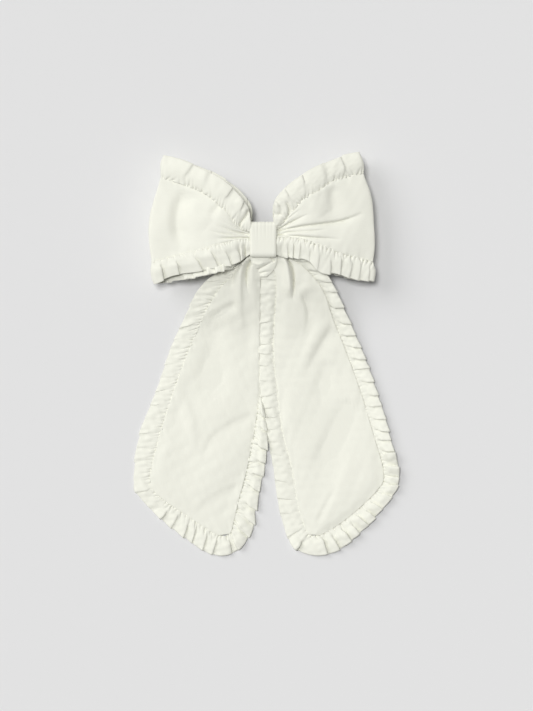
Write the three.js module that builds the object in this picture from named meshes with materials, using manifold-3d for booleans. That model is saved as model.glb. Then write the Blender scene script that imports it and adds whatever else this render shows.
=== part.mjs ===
// Hair bow: two ruffled loops and two long ruffled tails, gathered at a knot and sewn to a
// French barrette. Millimetres, +Z out of the bow's face, +Y towards the top of the bow.
// The origin is under the middle of the knot, on the underside of the clasp arm.
import * as THREE from 'three';
import { mergeVertices } from 'three/addons/utils/BufferGeometryUtils.js';
import Module from 'manifold-3d';

const wasm = await Module();
wasm.setup();

// Driving dimensions
const GAP = 0.3;             // clearance between neighbouring pieces
const CLOTH = 1.2;           // a lined cotton panel
const RUFFLE = 1.6;          // a pleated ruffle
const THROAT_X = 12.3;       // where each loop leaves the gathered centre
const LOOP_RUN = 57;         // from the throat to the fold, for the side section
const TAIL_SPLIT_Y = -31;    // where the free part of a tail starts
const TAIL_TOP_END_Y = -26;  // where its sewn top ends
const KNOT = { halfX: 8.2, halfY: 11, low: 15.5, high: 25.5, wall: 1.2, corner: 4.6 };
const BINDING = { halfX: 2.5, halfY: 9.3, low: 17, high: 24, wall: 0.9, corner: 3 };
const CORE = { halfX: 11.9, halfY: 8.3, halfZ: 2.3, z: 20.5, waist: 0.95, flare: 1.1,
  waistHalfX: 3, flareX: 6 };
const BASE = { left: -36.5, right: 38, halfY: 4.2, low: 10.6, high: 11.4, corner: 1.5 };
const FELT = { halfX: 30, halfY: 4.5, low: 11.7, high: 12.9, corner: 2 };
const PIN = { x: -34, z: 6, radius: 0.6, halfLength: 4.9, head: 1.2, headLength: 0.4 };
const EAR = { halfWidth: 2.5, low: 4, inner: 3.6, root: 0.2 };
const ARM = { tip: 39, halfY: 3.3, thick: 1, knuckle: 1.9, riser: 0.6 };
const WINDOW = { left: 33.2, right: 37.8, halfY: 2.7 };
const BRACKET = { left: 30.5, right: 38, halfY: 3, low: 9.5, high: 10.3, corner: 0.8 };
const RIVET = { x: 32.2, radius: 0.75, head: 1.5, low: 8.8, high: 12.1 };
const WING = { left: 34, right: 37.4, inner: 1.9, outer: 2.4, low: 2, high: 9.2 };
const TAB = { low: 3, high: 6, outer: 4.6 };
const LASHING = { x: 20, halfX: 1.5, halfY: 5.5, low: 9.7, high: 13.8, wall: 0.6, corner: 1 };
const SPRING = { halfY: 2.6, thick: 0.5 };
const TAIL_TOP = 2;          // the gathered top of a tail
const TAIL_RUFFLE_LOW = 0.6; // a tail ruffle's height above the lining's underside

// How many steps each kind of piece is drawn with
const STEPS = { arc: 6, round: 16, core: 20, loop: 26, bandAcross: 4, panel: 18, panelAcross: 4,
  tailRuffle: 46, tailTop: 10, tailTopAcross: 3, spring: 18 };

const cotton = new THREE.MeshStandardMaterial({ color: 0xedede1, roughness: 0.95, metalness: 0 });
const lining = new THREE.MeshStandardMaterial({ color: 0xe6e6da, roughness: 0.95, metalness: 0 });
const thread = new THREE.MeshStandardMaterial({ color: 0xe2e0d4, roughness: 0.9, metalness: 0 });
const felt = new THREE.MeshStandardMaterial({ color: 0xe8e6dc, roughness: 1, metalness: 0 });
const steel = new THREE.MeshStandardMaterial({ color: 0xc4c6c8, roughness: 0.35, metalness: 1 });

const bow = new THREE.Group();

function add(name, geometry, material) {
  const mesh = new THREE.Mesh(geometry, material);
  mesh.name = name;
  bow.add(mesh);
  return mesh;
}

// Booleans
function solid(geometry) {
  const bare = geometry.clone();
  bare.deleteAttribute('normal');
  bare.deleteAttribute('uv');
  const merged = mergeVertices(bare, 1e-4);
  return new wasm.Manifold(new wasm.Mesh({
    numProp: 3,
    vertProperties: new Float32Array(merged.attributes.position.array),
    triVerts: new Uint32Array(merged.index.array),
  }));
}

function geometryOf(manifold) {
  const mesh = manifold.getMesh();
  const geometry = new THREE.BufferGeometry();
  geometry.setAttribute('position', new THREE.BufferAttribute(mesh.vertProperties, 3));
  geometry.setIndex(new THREE.BufferAttribute(mesh.triVerts, 1));
  geometry.computeVertexNormals();
  return geometry;
}

// Basic shapes
function spline(points) {
  return new THREE.SplineCurve(points.map(([x, y]) => new THREE.Vector2(x, y)));
}

function signedVolume(geometry) {
  const p = geometry.attributes.position;
  const corner = [new THREE.Vector3(), new THREE.Vector3(), new THREE.Vector3()];
  let volume = 0;
  for (let i = 0; i < geometry.index.count; i += 3) {
    corner.forEach((c, k) => c.fromBufferAttribute(p, geometry.index.getX(i + k)));
    volume += corner[0].dot(corner[1].cross(corner[2])) / 6;
  }
  return volume;
}

// A thin block bent into place: u runs across, v along and w through it (w from -1/2 to 1/2).
function bentSlab(across, along, place) {
  const geometry = new THREE.BoxGeometry(1, 1, 1, across, along, 1);
  const p = geometry.attributes.position;
  for (let i = 0; i < p.count; i += 1) {
    const at = place(p.getX(i) + 0.5, p.getY(i) + 0.5, p.getZ(i));
    p.setXYZ(i, at.x, at.y, at.z);
  }
  if (signedVolume(geometry) < 0) {
    geometry.index.array.reverse();
  }
  geometry.computeVertexNormals();
  return geometry;
}

function block(left, right, front, back, low, high) {
  const geometry = new THREE.BoxGeometry(right - left, back - front, high - low);
  geometry.translate((left + right) / 2, (front + back) / 2, (low + high) / 2);
  return geometry;
}

function roundedRect(path, left, right, low, high, radius) {
  path.moveTo(left + radius, low);
  path.lineTo(right - radius, low);
  path.absarc(right - radius, low + radius, radius, -Math.PI / 2, 0);
  path.lineTo(right, high - radius);
  path.absarc(right - radius, high - radius, radius, 0, Math.PI / 2);
  path.lineTo(left + radius, high);
  path.absarc(left + radius, high - radius, radius, Math.PI / 2, Math.PI);
  path.lineTo(left, low + radius);
  path.absarc(left + radius, low + radius, radius, Math.PI, 1.5 * Math.PI);
  return path;
}

function extrude(shape, depth) {
  const options = { depth, bevelEnabled: false, curveSegments: STEPS.arc };
  return new THREE.ExtrudeGeometry(shape, options);
}

// An outline in X and Z, extruded along Y
function alongY(shape, from, to) {
  const geometry = extrude(shape, to - from);
  geometry.rotateX(Math.PI / 2);
  geometry.translate(0, to, 0);
  return geometry;
}

// A band round the X axis: a rounded rectangle in Y and Z with a wall, from one X to another
function bandAlongX({ halfY, low, high, wall, corner }, from, to) {
  const shape = roundedRect(new THREE.Shape(), -halfY, halfY, low, high, corner);
  const inside = [-halfY + wall, halfY - wall, low + wall, high - wall, corner - wall];
  shape.holes.push(roundedRect(new THREE.Path(), ...inside));
  const geometry = extrude(shape, to - from);
  const yAxis = new THREE.Vector3(0, 1, 0);
  const zAxis = new THREE.Vector3(0, 0, 1);
  const xAxis = new THREE.Vector3(1, 0, 0);
  geometry.applyMatrix4(new THREE.Matrix4().makeBasis(yAxis, zAxis, xAxis));
  geometry.translate(from, 0, 0);
  return geometry;
}

// The knot
function makeKnot() {
  add('knot_wrap', bandAlongX(KNOT, -KNOT.halfX, KNOT.halfX), cotton);
  add('binding_thread', bandAlongX(BINDING, -BINDING.halfX, BINDING.halfX), thread);
  const { halfX, waist, flare, waistHalfX, flareX } = CORE;
  const profile = [
    [0, -halfX], [flare, -halfX], [flare, -flareX], [waist, -waistHalfX],
    [waist, waistHalfX], [flare, flareX], [flare, halfX], [0, halfX],
  ].map(([r, x]) => new THREE.Vector2(r, x));
  const core = new THREE.LatheGeometry(profile, STEPS.core);
  core.rotateZ(-Math.PI / 2);
  core.scale(1, CORE.halfY, CORE.halfZ);
  core.translate(0, 0, CORE.z);
  add('gathered_centre', core, cotton);
}

// The loops. Side section from the front of the throat, round the fold, to its back:
// [distance from the throat along LOOP_RUN, height]
const LOOP_SECTION = spline([
  [0, 23.2], [11, 25.4], [26, 26.2], [40, 23], [50, 17.5], [56, 12], [57, 9.2],
  [54.5, 5.8], [49, 5], [42, 7.6], [33, 12], [24, 14.3], [14, 15.6], [0, 17.6],
]);

// Plan lines of each loop, [x, y] from the throat to the fold: the outer edge of the top
// ruffle, the two seams, and the outer edge of the bottom ruffle
const LEFT_LOOP = {
  side: -1,
  topEdge: [[-11.5, 24], [-16, 32], [-23, 37.5], [-33, 42.5], [-43, 47], [-60.1, 51.9]],
  topSeam: [[-THROAT_X, 6.5], [-18, 11.5], [-26, 21], [-36, 29], [-47, 33.5], [-62.4, 38.3]],
  bottomSeam: [[-THROAT_X, 0], [-21, -2.1], [-30, -4.6], [-40, -7.1], [-50, -9.6], [-68.2, -14]],
  bottomEdge: [[-THROAT_X, -10.5], [-19, -15.5], [-30, -17.5], [-40, -19.5], [-50, -21], [-66, -27]],
};
const RIGHT_LOOP = {
  side: 1,
  topEdge: [[11.5, 24], [16, 33.5], [24, 40.5], [33, 45.5], [43, 49.8], [58.8, 53.7]],
  topSeam: [[THROAT_X, 9.5], [17.6, 17.6], [26, 25.6], [36, 30.6], [47, 37], [61.2, 41.1]],
  bottomSeam: [[THROAT_X, 0.6], [22, 0], [31, -3], [41, -6.6], [52, -9.2], [67.6, -14.3]],
  bottomEdge: [[THROAT_X, -9.5], [20, -13], [29.5, -17], [40.3, -20.5], [52, -22.5], [67.6, -25.2]],
};
const FOLD_BULGE = 4;        // how far the fold bows out between the seams

function loopStrip({ side }, fromLine, toLine, { thick, across, gap = 0, bulge = 0 }) {
  const from = spline(fromLine);
  const to = spline(toLine);
  return bentSlab(across, STEPS.loop, (u, v, w) => {
    const section = LOOP_SECTION.getPoint(v);
    const slope = LOOP_SECTION.getTangent(v);
    const t = THREE.MathUtils.clamp(section.x / LOOP_RUN, 0, 1);
    const a = from.getPoint(t);
    const b = to.getPoint(t);
    const start = a.clone().lerp(b, gap / a.distanceTo(b));
    const plan = start.lerp(b, u);
    const crown = side * bulge * 4 * u * (1 - u) * t * t;
    const x = plan.x + crown - side * slope.y * thick * w;
    return new THREE.Vector3(x, plan.y, section.y + slope.x * thick * w);
  });
}

function makeLoop(prefix, loop) {
  const ruffle = { thick: RUFFLE, across: 1, gap: GAP };
  const band = { thick: CLOTH, across: STEPS.bandAcross, bulge: FOLD_BULGE };
  add(`${prefix}_band`, loopStrip(loop, loop.bottomSeam, loop.topSeam, band), cotton);
  add(`${prefix}_top_ruffle`, loopStrip(loop, loop.topSeam, loop.topEdge, ruffle), cotton);
  add(`${prefix}_bottom_ruffle`, loopStrip(loop, loop.bottomSeam, loop.bottomEdge, ruffle), cotton);
}

// The tails. The underside leaves the felt pad level, then comes down to the table.
const TAIL_SEWN_Z = 13.2;
function tailUnderside(y) {
  return TAIL_SEWN_Z * (1 - THREE.MathUtils.smoothstep(-y, 4, 62));
}

// Plan outlines, [x, y]: the seam down the outer side, then down the inner side with as many
// points, and the ruffle's edge from its outer top, round the tip, to its inner end
const LEFT_TAIL = {
  outer: [[-28.5, TAIL_SPLIT_Y], [-38, -49], [-46, -68], [-55, -94], [-64, -122], [-70, -146],
    [-66, -155.5], [-48, -169], [-28, -181]],
  inner: [[-2.6, TAIL_SPLIT_Y], [-2.4, -52], [-2.4, -73], [-2.4, -96], [-6, -119], [-10.5, -140],
    [-14.5, -157], [-17.6, -170], [-21, -181]],
  edge: [[-41, TAIL_SPLIT_Y], [-49, -49], [-57.5, -68], [-66, -92], [-77, -120], [-79.6, -147],
    [-76, -159], [-53.5, -179.5], [-31, -193.2], [-15.5, -190], [-6.2, -177], [-3.9, -163],
    [0.2, -145], [0.8, -122], [-2.2, -97]],
};
const RIGHT_TAIL = {
  outer: [[36.5, TAIL_SPLIT_Y], [42.8, -49], [50, -66], [59.5, -92], [68, -120], [74.3, -142],
    [69, -154], [50, -171.5], [34.5, -180.8]],
  inner: [[8.2, TAIL_SPLIT_Y], [7.2, -49], [6.6, -70], [9, -94], [12, -117], [17.5, -141],
    [20.7, -157], [24, -171], [28.4, -180.4]],
  edge: [[44.5, TAIL_SPLIT_Y], [53, -49], [60, -66], [69, -91], [78, -120], [83.7, -141],
    [80, -156], [57.5, -181.4], [37.5, -193.2], [19.5, -189.4], [12, -173], [8.2, -156],
    [5.6, -140], [1.6, -118], [-1.6, -95], [-1.6, -70], [-1.6, -50], [-1.6, TAIL_SPLIT_Y]],
};

function tailPanel(tail, low) {
  const seam = spline([...tail.outer, ...tail.inner.toReversed()]);
  const reach = (tail.outer.length - 1) / (seam.points.length - 1);
  return bentSlab(STEPS.panelAcross, STEPS.panel, (u, v, w) => {
    const plan = seam.getPoint(v * reach).lerp(seam.getPoint(1 - v * reach), u);
    return new THREE.Vector3(plan.x, plan.y, tailUnderside(plan.y) + low + CLOTH * (w + 0.5));
  });
}

function tailRuffle(tail) {
  const seam = spline([...tail.outer, ...tail.inner.toReversed()]);
  const edge = spline(tail.edge);
  const reach = (tail.edge.length - 1) / (seam.points.length - 1);
  return bentSlab(1, STEPS.tailRuffle, (u, v, w) => {
    const a = seam.getPoint(v * reach);
    const b = edge.getPoint(v);
    const plan = a.clone().lerp(b, GAP / a.distanceTo(b)).lerp(b, u);
    const low = tailUnderside(plan.y) + TAIL_RUFFLE_LOW;
    return new THREE.Vector3(plan.x, plan.y, low + RUFFLE * (w + 0.5));
  });
}

function makeTail(prefix, tail) {
  add(`${prefix}_back`, tailPanel(tail, 0), lining);
  add(`${prefix}_front`, tailPanel(tail, CLOTH + GAP), cotton);
  add(`${prefix}_ruffle`, tailRuffle(tail), cotton);
}

function makeTailTop(name, outerLine, innerLine) {
  const outer = spline(outerLine);
  const inner = spline(innerLine);
  add(name, bentSlab(STEPS.tailTopAcross, STEPS.tailTop, (u, v, w) => {
    const plan = outer.getPoint(v).lerp(inner.getPoint(v), u);
    return new THREE.Vector3(plan.x, plan.y, tailUnderside(plan.y) + TAIL_TOP * (w + 0.5));
  }), cotton);
}

// The barrette
function makeBase() {
  const { left, right, halfY, corner } = BASE;
  const outline = roundedRect(new THREE.Shape(), left, right, -halfY, halfY, corner);
  const rivetHole = new THREE.Path().absarc(RIVET.x, 0, RIVET.radius + GAP, 0, 2 * Math.PI);
  outline.holes.push(rivetHole);
  const plate = extrude(outline, BASE.high - BASE.low);
  plate.translate(0, 0, BASE.low);
  let base = solid(plate);
  const pinHole = new THREE.Path().absarc(PIN.x, PIN.z, PIN.radius + GAP, 0, 2 * Math.PI);
  for (const side of [-1, 1]) {
    const ear = new THREE.Shape();
    ear.moveTo(PIN.x - EAR.halfWidth, BASE.low + EAR.root);
    ear.lineTo(PIN.x - EAR.halfWidth, EAR.low);
    ear.lineTo(PIN.x + EAR.halfWidth, EAR.low);
    ear.lineTo(PIN.x + EAR.halfWidth, BASE.low + EAR.root);
    ear.holes.push(pinHole);
    const [from, to] = [side * EAR.inner, side * halfY].sort((a, b) => a - b);
    base = base.add(solid(alongY(ear, from, to)));
  }
  add('barrette_base', geometryOf(base), steel);
}

function lathe(profile) {
  return new THREE.LatheGeometry(profile.map(([r, h]) => new THREE.Vector2(r, h)), STEPS.round);
}

function makePin() {
  const { radius, halfLength, head, headLength } = PIN;
  const neck = halfLength - headLength;
  const pin = lathe([
    [0, -halfLength], [head, -halfLength], [head, -neck], [radius, -neck],
    [radius, neck], [head, neck], [head, halfLength], [0, halfLength],
  ]);
  pin.translate(PIN.x, 0, PIN.z);
  add('hinge_pin', pin, steel);
}

function makeClaspArm() {
  const { x, z } = PIN;
  const { knuckle, riser, thick, tip, halfY } = ARM;
  const start = Math.acos(riser / knuckle);
  const outline = new THREE.Shape();
  outline.moveTo(tip, 0);
  outline.lineTo(tip, thick);
  outline.lineTo(x + riser, thick);
  outline.absarc(x, z, knuckle, -start, Math.PI + start);
  outline.lineTo(x - riser, 0);
  outline.holes.push(new THREE.Path().absarc(x, z, PIN.radius + GAP, 0, 2 * Math.PI));
  const window = block(WINDOW.left, WINDOW.right, -WINDOW.halfY, WINDOW.halfY, -1, thick + 1);
  const arm = solid(alongY(outline, -halfY, halfY)).subtract(solid(window));
  add('clasp_arm', geometryOf(arm), steel);
}

function makeCatch() {
  const { left, right, halfY, low, high, corner } = BRACKET;
  const outline = roundedRect(new THREE.Shape(), left, right, -halfY, halfY, corner);
  outline.holes.push(new THREE.Path().absarc(RIVET.x, 0, RIVET.radius + GAP, 0, 2 * Math.PI));
  const bracket = extrude(outline, high - low);
  bracket.translate(0, 0, low);
  add('catch_bracket', bracket, steel);

  const rivet = lathe([
    [0, RIVET.low], [RIVET.head, RIVET.low], [RIVET.head, low - GAP], [RIVET.radius, low - GAP],
    [RIVET.radius, BASE.high + GAP], [RIVET.head, BASE.high + GAP], [RIVET.head, RIVET.high],
    [0, RIVET.high],
  ]);
  rivet.rotateX(Math.PI / 2);
  rivet.translate(RIVET.x, 0, 0);
  add('catch_rivet', rivet, steel);

  for (const [name, side] of [['catch_wing_upper', 1], ['catch_wing_lower', -1]]) {
    const [from, to] = [side * WING.inner, side * WING.outer].sort((a, b) => a - b);
    const [tabFrom, tabTo] = [side * WING.inner, side * TAB.outer].sort((a, b) => a - b);
    const plate = solid(block(WING.left, WING.right, from, to, WING.low, WING.high));
    const tab = solid(block(WING.left, WING.right, tabFrom, tabTo, TAB.low, TAB.high));
    add(name, geometryOf(plate.add(tab)), steel);
  }
}

function makeTensionBar() {
  const bow2d = spline([[-30.5, 9.9], [-15, 7.7], [0, 6.7], [15, 6.9], [28, 8.1]]);
  add('tension_bar', bentSlab(1, STEPS.spring, (u, v, w) => {
    const at = bow2d.getPoint(v);
    return new THREE.Vector3(at.x, SPRING.halfY * (2 * u - 1), at.y + SPRING.thick * w);
  }), steel);
}

function makeFeltAndLashings() {
  const { halfX, halfY, low, high, corner } = FELT;
  const outline = roundedRect(new THREE.Shape(), -halfX, halfX, -halfY, halfY, corner);
  const pad = extrude(outline, high - low);
  pad.translate(0, 0, low);
  add('felt_pad', pad, felt);
  for (const [name, x] of [['lashing_left', -LASHING.x], ['lashing_right', LASHING.x]]) {
    add(name, bandAlongX(LASHING, x - LASHING.halfX, x + LASHING.halfX), thread);
  }
}

makeKnot();
makeLoop('left_loop', LEFT_LOOP);
makeLoop('right_loop', RIGHT_LOOP);
makeTail('left_tail', LEFT_TAIL);
makeTail('right_tail', RIGHT_TAIL);
makeTailTop('left_tail_top', [[-7.8, 7], [-9, -8], [-25, TAIL_TOP_END_Y]],
  [[-0.4, 7], [-0.5, -8], [-2.6, TAIL_TOP_END_Y]]);
makeTailTop('right_tail_top', [[8, 7], [11, -8], [33, TAIL_TOP_END_Y]],
  [[0.4, 7], [1.2, -8], [8.2, TAIL_TOP_END_Y]]);
makeFeltAndLashings();
makeBase();
makePin();
makeClaspArm();
makeCatch();
makeTensionBar();

export default bow;
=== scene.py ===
"""Hair bow: ruffled cotton loops and tails on a French barrette, seen from straight above.

Cloth surfaces are worked out in millimetres in the CAD model's frame (+Z out of the bow's face,
+Y towards its top) and turned into metres when a mesh is made.
"""

import math

import bpy
import numpy as np
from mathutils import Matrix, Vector


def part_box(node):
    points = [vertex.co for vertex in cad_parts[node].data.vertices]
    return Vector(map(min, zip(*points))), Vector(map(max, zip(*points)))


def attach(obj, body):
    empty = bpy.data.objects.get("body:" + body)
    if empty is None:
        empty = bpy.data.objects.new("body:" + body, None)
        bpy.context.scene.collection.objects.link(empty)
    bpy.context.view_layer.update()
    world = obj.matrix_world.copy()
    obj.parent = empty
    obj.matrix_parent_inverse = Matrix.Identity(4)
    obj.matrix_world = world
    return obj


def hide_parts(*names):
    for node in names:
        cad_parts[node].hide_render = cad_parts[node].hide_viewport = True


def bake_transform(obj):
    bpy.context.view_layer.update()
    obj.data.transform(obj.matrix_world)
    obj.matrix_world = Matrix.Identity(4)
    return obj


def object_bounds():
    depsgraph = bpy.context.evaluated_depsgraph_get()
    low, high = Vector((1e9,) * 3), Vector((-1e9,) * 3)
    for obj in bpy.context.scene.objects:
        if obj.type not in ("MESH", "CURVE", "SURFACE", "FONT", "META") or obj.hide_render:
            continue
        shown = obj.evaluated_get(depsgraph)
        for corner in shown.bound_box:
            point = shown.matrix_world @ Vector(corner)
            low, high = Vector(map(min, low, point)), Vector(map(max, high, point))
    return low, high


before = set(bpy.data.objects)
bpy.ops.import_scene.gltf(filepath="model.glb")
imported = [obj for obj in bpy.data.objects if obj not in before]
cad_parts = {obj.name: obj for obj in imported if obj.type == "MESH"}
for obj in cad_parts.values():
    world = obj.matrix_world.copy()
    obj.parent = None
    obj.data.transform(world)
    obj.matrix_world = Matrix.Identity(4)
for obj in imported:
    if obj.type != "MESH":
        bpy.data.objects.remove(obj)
CAD_BOX = [list(corner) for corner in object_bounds()]
MM = 0.001


# ---------------------------------------------------------------- small maths

def smooth(x, low, high):
    """0 up to low, 1 from high on, and a smooth step between them."""
    t = np.clip((np.asarray(x, float) - low) / (high - low), 0, 1)
    return t * t * (3 - 2 * t)


def spline(points):
    """A Catmull-Rom curve through the points: a function of t from 0 to 1."""
    p = np.array(points, float)

    def at(t):
        scaled = np.clip(np.asarray(t, float), 0, 1) * (len(p) - 1)
        i = np.minimum(scaled.astype(int), len(p) - 2)
        f = (scaled - i)[..., None]
        before, here = p[np.maximum(i - 1, 0)], p[i]
        there, after = p[i + 1], p[np.minimum(i + 2, len(p) - 1)]
        a, b = (there - before) / 2, (after - here) / 2
        cubic = 2 * here - 2 * there + a + b
        square = -3 * here + 3 * there - 2 * a - b
        return cubic * f ** 3 + square * f ** 2 + a * f + here

    return at


def by_length(curve, samples=400):
    """The same curve as a function of the share of its length, and its length."""
    t = np.linspace(0, 1, samples)
    steps = np.linalg.norm(np.diff(curve(t), axis=0), axis=1)
    along = np.concatenate([[0], np.cumsum(steps)])
    return (lambda v: curve(np.interp(v, along / along[-1], t))), along[-1]


def waves(seed, count, shortest, longest):
    """A smooth random height, about -1 to 1, as a function of x and y in millimetres."""
    rng = np.random.default_rng(seed)
    angle = rng.uniform(0, math.pi, count)
    length = rng.uniform(shortest, longest, count)
    phase = rng.uniform(0, 2 * math.pi, count)

    def at(x, y):
        total = 0
        for a, l, p in zip(angle, length, phase):
            total = total + np.sin(2 * math.pi * (x * math.cos(a) + y * math.sin(a)) / l + p)
        return total / math.sqrt(count)

    return at


# How many points a fold's line is taken at, how far it runs on past its ends, and the width
# under which it is a narrow one
FOLD_SAMPLES = 48
FOLD_END = 3.0
NARROW_FOLD = 1.4


def fold(x, y, points, height, width, far_width, ends):
    """A soft fold along a line: height above (or below) the cloth, width on its left side
    and far_width on its right side, fading in and out over the shares in ends. A narrow fold
    comes to a sharper line than a wide one."""
    line = spline(points)(np.linspace(0, 1, FOLD_SAMPLES))
    flat = np.stack([x.ravel(), y.ravel()], 1)
    gap = flat[:, None] - line[None]
    nearest = np.argmin((gap ** 2).sum(2), axis=1)
    direction = np.gradient(line, axis=0)[nearest]
    direction /= np.linalg.norm(direction, axis=1)[:, None]
    offset = gap[np.arange(len(flat)), nearest]
    side = direction[:, 0] * offset[:, 1] - direction[:, 1] * offset[:, 0]
    past = np.abs((direction * offset).sum(1))
    reach = np.where(side > 0, width, far_width)
    share = nearest / (len(line) - 1)
    fade = smooth(share, 0, ends[0]) * smooth(1 - share, 0, ends[1])
    power = 1.25 if width < NARROW_FOLD else 2
    shape = np.exp(-np.abs(side / reach) ** power) * np.exp(-(past / FOLD_END) ** 2)
    return (height * shape * fade).reshape(x.shape)


# ---------------------------------------------------------------- meshes

def arc_lengths(grid, axis):
    """The mean distance travelled along one axis of a grid of points, at each of its steps."""
    steps = np.linalg.norm(np.diff(grid, axis=axis), axis=2).mean(axis=1 - axis)
    return np.concatenate([[0], np.cumsum(steps)])


def cloth_piece(name, grid, thickness, material, closed_rows=False):
    """A sheet through a grid of points (rows, columns, 3) in millimetres, with a thickness.
    With closed_rows the last row joins the first. Its UVs are distances along the cloth."""
    rows, columns = grid.shape[:2]
    index = np.arange(rows * columns).reshape(rows, columns)
    v = arc_lengths(grid, 0)
    u = arc_lengths(grid, 1)
    if closed_rows:
        index = np.vstack([index, index[:1]])
        v = np.append(v, v[-1] + v[1])
    quads = np.stack([index[:-1, :-1], index[1:, :-1], index[1:, 1:], index[:-1, 1:]], -1)
    mesh = bpy.data.meshes.new(name)
    mesh.from_pydata((grid.reshape(-1, 3) * MM).tolist(), [], quads.reshape(-1, 4).tolist())
    uu, vv = np.meshgrid(u * MM, v * MM)
    corners = np.stack([uu, vv], -1)
    uv = np.stack([corners[:-1, :-1], corners[1:, :-1], corners[1:, 1:], corners[:-1, 1:]], -2)
    layer = mesh.uv_layers.new(name="cloth")
    layer.data.foreach_set("uv", uv.reshape(-1).astype(np.float32))
    piece = bpy.data.objects.new(name, mesh)
    bpy.context.scene.collection.objects.link(piece)
    mesh.materials.append(material)
    body = piece.modifiers.new("thickness", "SOLIDIFY")
    body.thickness = thickness * MM
    body.offset = 0
    return finished(piece)


def finished(piece):
    """Applies a piece's modifiers and shades it smooth."""
    bpy.context.view_layer.update()
    graph = bpy.context.evaluated_depsgraph_get()
    mesh = bpy.data.meshes.new_from_object(piece.evaluated_get(graph))
    piece.modifiers.clear()
    piece.data = mesh
    mesh.name = piece.name
    mesh.polygons.foreach_set("use_smooth", [True] * len(mesh.polygons))
    return piece


# ---------------------------------------------------------------- materials

def new_material(name):
    material = bpy.data.materials.new(name)
    material.use_nodes = True
    nodes = material.node_tree.nodes
    return material, nodes, material.node_tree.links, nodes["Principled BSDF"]


def set_input(node, socket, value):
    node.inputs[socket].default_value = value


WEAVE = 0.42
# How long one band of a wave texture is when its scale is 1
WAVE_PERIOD = 2 * math.pi / 20


def cotton(name, tint):
    """Plain-weave cotton: two crossing sets of threads, slubs, and faint uneven tone."""
    material, nodes, links, shader = new_material(name)
    set_input(shader, "Roughness", 0.92)
    set_input(shader, "Specular IOR Level", 0.2)
    set_input(shader, "Sheen Weight", 0.25)
    set_input(shader, "Sheen Roughness", 0.5)

    place = nodes.new("ShaderNodeTexCoord")
    threads = []
    for direction in ("X", "Y"):
        wave = nodes.new("ShaderNodeTexWave")
        wave.bands_direction = direction
        set_input(wave, "Scale", 1 / (WEAVE * MM) * WAVE_PERIOD)
        set_input(wave, "Distortion", 1.2)
        set_input(wave, "Detail", 2.0)
        set_input(wave, "Detail Scale", 0.6)
        links.new(place.outputs["UV"], wave.inputs["Vector"])
        threads.append(wave)
    crossing = nodes.new("ShaderNodeMath")
    crossing.operation = "MULTIPLY"
    links.new(threads[0].outputs["Fac"], crossing.inputs[0])
    links.new(threads[1].outputs["Fac"], crossing.inputs[1])

    slubs = nodes.new("ShaderNodeTexNoise")
    stretch = nodes.new("ShaderNodeMapping")
    set_input(stretch, "Scale", (2200, 160, 1))
    links.new(place.outputs["UV"], stretch.inputs["Vector"])
    links.new(stretch.outputs["Vector"], slubs.inputs["Vector"])
    set_input(slubs, "Scale", 1.0)
    set_input(slubs, "Detail", 3.0)

    mottle = nodes.new("ShaderNodeTexNoise")
    set_input(mottle, "Scale", 70.0)
    set_input(mottle, "Detail", 4.0)
    links.new(place.outputs["Object"], mottle.inputs["Vector"])

    tone = nodes.new("ShaderNodeMix")
    tone.data_type = "RGBA"
    light = tuple(min(1, c * 1.02) for c in tint)
    dark = tuple(c * 0.95 for c in tint)
    set_input(tone, "A", (*dark, 1))
    set_input(tone, "B", (*light, 1))
    mottle_part = nodes.new("ShaderNodeMath")
    mottle_part.operation = "MULTIPLY"
    set_input(mottle_part, 1, 0.6)
    links.new(mottle.outputs["Fac"], mottle_part.inputs[0])
    unevenness = nodes.new("ShaderNodeMath")
    unevenness.operation = "MULTIPLY_ADD"
    set_input(unevenness, 1, 0.45)
    links.new(slubs.outputs["Fac"], unevenness.inputs[0])
    links.new(mottle_part.outputs["Value"], unevenness.inputs[2])
    links.new(unevenness.outputs["Value"], tone.inputs["Factor"])
    links.new(tone.outputs["Result"], shader.inputs["Base Color"])

    weave = nodes.new("ShaderNodeBump")
    set_input(weave, "Strength", 0.35)
    set_input(weave, "Distance", 0.00008)
    links.new(crossing.outputs["Value"], weave.inputs["Height"])
    rumple = nodes.new("ShaderNodeBump")
    set_input(rumple, "Strength", 0.25)
    set_input(rumple, "Distance", 0.0006)
    links.new(mottle.outputs["Fac"], rumple.inputs["Height"])
    links.new(weave.outputs["Normal"], rumple.inputs["Normal"])
    links.new(rumple.outputs["Normal"], shader.inputs["Normal"])
    return material


def fibre(name, tint, scale, depth):
    """Felt or thread: a fine tangle of fibres."""
    material, nodes, links, shader = new_material(name)
    set_input(shader, "Roughness", 0.95)
    set_input(shader, "Sheen Weight", 0.5)
    place = nodes.new("ShaderNodeTexCoord")
    tangle = nodes.new("ShaderNodeTexNoise")
    set_input(tangle, "Scale", scale)
    set_input(tangle, "Detail", 8.0)
    set_input(tangle, "Distortion", 1.5)
    links.new(place.outputs["Object"], tangle.inputs["Vector"])
    tone = nodes.new("ShaderNodeMix")
    tone.data_type = "RGBA"
    set_input(tone, "A", (*(c * 0.82 for c in tint), 1))
    set_input(tone, "B", (*tint, 1))
    links.new(tangle.outputs["Fac"], tone.inputs["Factor"])
    links.new(tone.outputs["Result"], shader.inputs["Base Color"])
    bump = nodes.new("ShaderNodeBump")
    set_input(bump, "Strength", 0.6)
    set_input(bump, "Distance", depth)
    links.new(tangle.outputs["Fac"], bump.inputs["Height"])
    links.new(bump.outputs["Normal"], shader.inputs["Normal"])
    return material


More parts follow.
